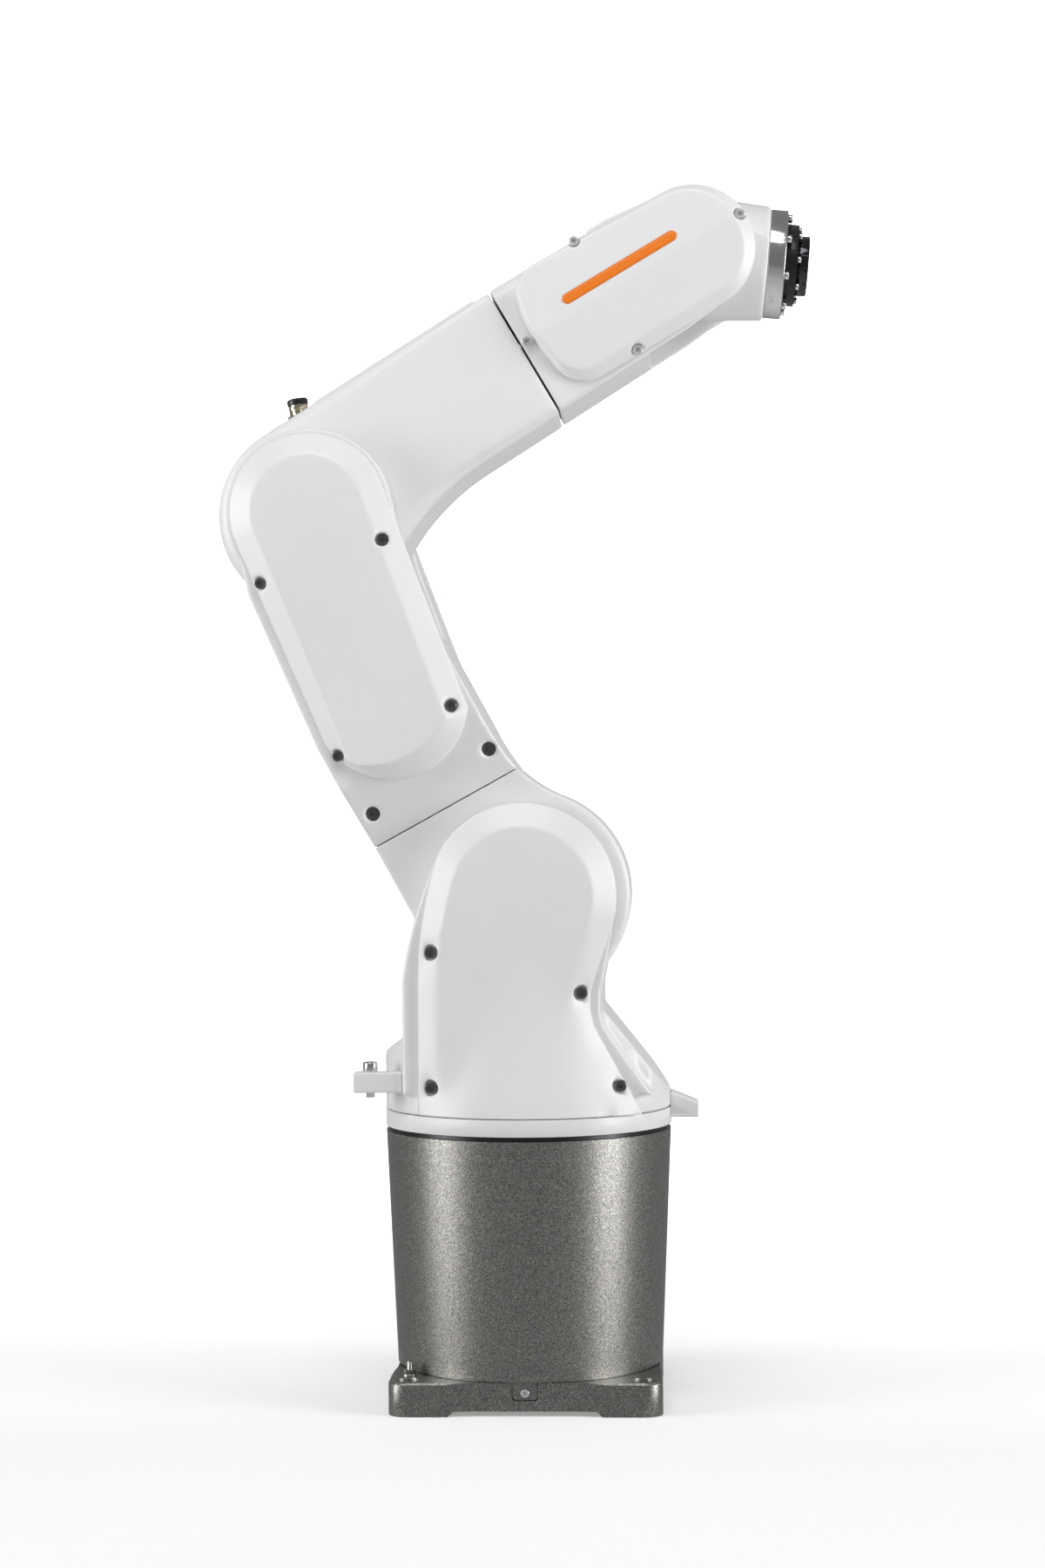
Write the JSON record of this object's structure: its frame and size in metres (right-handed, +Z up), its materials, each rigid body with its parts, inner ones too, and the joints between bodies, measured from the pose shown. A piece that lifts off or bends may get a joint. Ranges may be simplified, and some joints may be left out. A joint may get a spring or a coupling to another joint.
{
  "type": "six-axis robot arm",
  "caption": "Small six-axis articulated robot arm: square bolted base, turning column, forked lower arm, slim forearm, wrist and a round tool flange.",
  "frame": {"origin": "centre of the base plate's underside, on the vertical first axis", "axes": "+Z up along the first axis, +X the way the forearm points in the stored pose, so the arm's own left is +Y"},
  "size_m": [0.3975, 0.193, 0.8063],
  "materials": {
    "white_coat": "fine-textured light grey-white powder coat",
    "grey_coat": "grey metallic hammered powder coat",
    "steel": "fine turned",
    "dark_steel": "oiled",
    "black_anodised": "satin black anodised",
    "bare_aluminium": "machined",
    "bright_screws": "bright zinc",
    "black_screws": "dark zinc flake",
    "zinc_screws": "light zinc",
    "black_steel": "black oxide, polished",
    "orange_paint": "orange paint",
    "connector": "nickel-plated brass",
    "rubber": "matt black",
    "black_plastic": "matt black"
  },
  "bodies": {
    "base": {"base_plate": "grey_coat", "base_housing": "grey_coat", "base_lug_screws": "zinc_screws", "ground_stud": "bright_screws", "interface_panel": "bare_aluminium", "interface_sockets": "connector", "axis1_gear": "dark_steel", "axis1_motor": "black_plastic", "axis1_seal": "rubber"},
    "column": {"turntable": "white_coat", "column_core": "white_coat", "column_cheek_near": "white_coat", "column_cheek_far": "white_coat", "column_cover_near": "white_coat", "column_cover_far": "white_coat", "column_cover_screws": "black_screws", "stop_lugs": "white_coat", "stop_screw": "bright_screws", "axis2_motor": "black_plastic", "axis2_bearing": "steel"},
    "lower_arm": {"lower_arm_hub": "white_coat", "axis2_gear": "dark_steel", "lower_arm_link": "white_coat", "elbow_cheek_near": "white_coat", "elbow_cheek_far": "white_coat", "elbow_cover_near": "white_coat", "elbow_cover_far": "white_coat", "lower_arm_screws": "black_screws", "axis3_motor": "black_plastic", "axis3_belt": "rubber", "axis3_bearings": "steel"},
    "axis3_motor_pulley": {"axis3_motor_pulley": "bare_aluminium"},
    "forearm": {"forearm_housing": "white_coat", "axis3_axle": "steel", "axis3_gear": "dark_steel", "axis3_pulley": "bare_aluminium", "forearm_top_cover": "white_coat", "service_connector": "connector", "connector_cap": "rubber", "axis4_gear": "dark_steel", "axis4_motor": "black_plastic"},
    "wrist": {"axis4_shaft": "steel", "wrist_housing": "white_coat", "wrist_cheek_near": "white_coat", "wrist_cheek_far": "white_coat", "wrist_cover_near": "white_coat", "wrist_cover_far": "white_coat", "wrist_cover_screws": "zinc_screws", "axis5_motor": "black_plastic", "axis5_belt": "rubber", "axis5_bearings": "steel"},
    "axis5_motor_pulley": {"axis5_motor_pulley": "bare_aluminium"},
    "hand": {"hand_housing": "white_coat", "hand_ring": "steel", "hand_ring_screws": "bright_screws", "axis5_pulley": "bare_aluminium", "axis6_motor": "dark_steel"},
    "flange": {"flange_disc": "black_anodised", "flange_disc_screws": "bright_screws", "tool_flange": "black_steel"}
  },
  "joints": [
    {"name": "axis1", "type": "hinge", "parent": "base", "child": "column", "pos_m": [0, 0, 0.182], "axis": [0, 0, 1], "range_deg": [-170, 170]},
    {"name": "axis2", "type": "hinge", "parent": "column", "child": "lower_arm", "pos_m": [0, 0, 0.3365], "axis": [0, 1, 0], "range_deg": [-55, 100]},
    {"name": "axis3", "type": "hinge", "parent": "lower_arm", "child": "forearm", "pos_m": [-0.13926, 0, 0.59087], "axis": [0, 1, 0], "range_deg": [-203, 48]},
    {"name": "axis3_motor_spin", "type": "hinge", "parent": "lower_arm", "child": "axis3_motor_pulley", "pos_m": [-0.08991, 0, 0.46741], "axis": [0, 1, 0], "range_deg": [-406, 96]},
    {"name": "axis4", "type": "hinge", "parent": "forearm", "child": "wrist", "pos_m": [-0.14936, 0, 0.60814], "axis": [0.8634, 0, 0.5045], "range_deg": [-185, 185]},
    {"name": "axis5", "type": "hinge", "parent": "wrist", "child": "hand", "pos_m": [0.1183, 0, 0.76454], "axis": [0, 1, 0], "range_deg": [-155, 84.7]},
    {"name": "axis5_motor_spin", "type": "hinge", "parent": "wrist", "child": "axis5_motor_pulley", "pos_m": [0.0339, 0, 0.7187], "axis": [0, 1, 0], "range_deg": [-310, 169.4]},
    {"name": "axis6", "type": "hinge", "parent": "hand", "child": "flange", "pos_m": [0.1183, 0, 0.76454], "axis": [0.9962, 0, -0.0872], "range_deg": [-350, 350]}
  ],
  "couplings": [
    {"joint": "axis3_motor_spin", "follows": "axis3", "ratio": 2},
    {"joint": "axis5_motor_spin", "follows": "axis5", "ratio": 2}
  ]
}
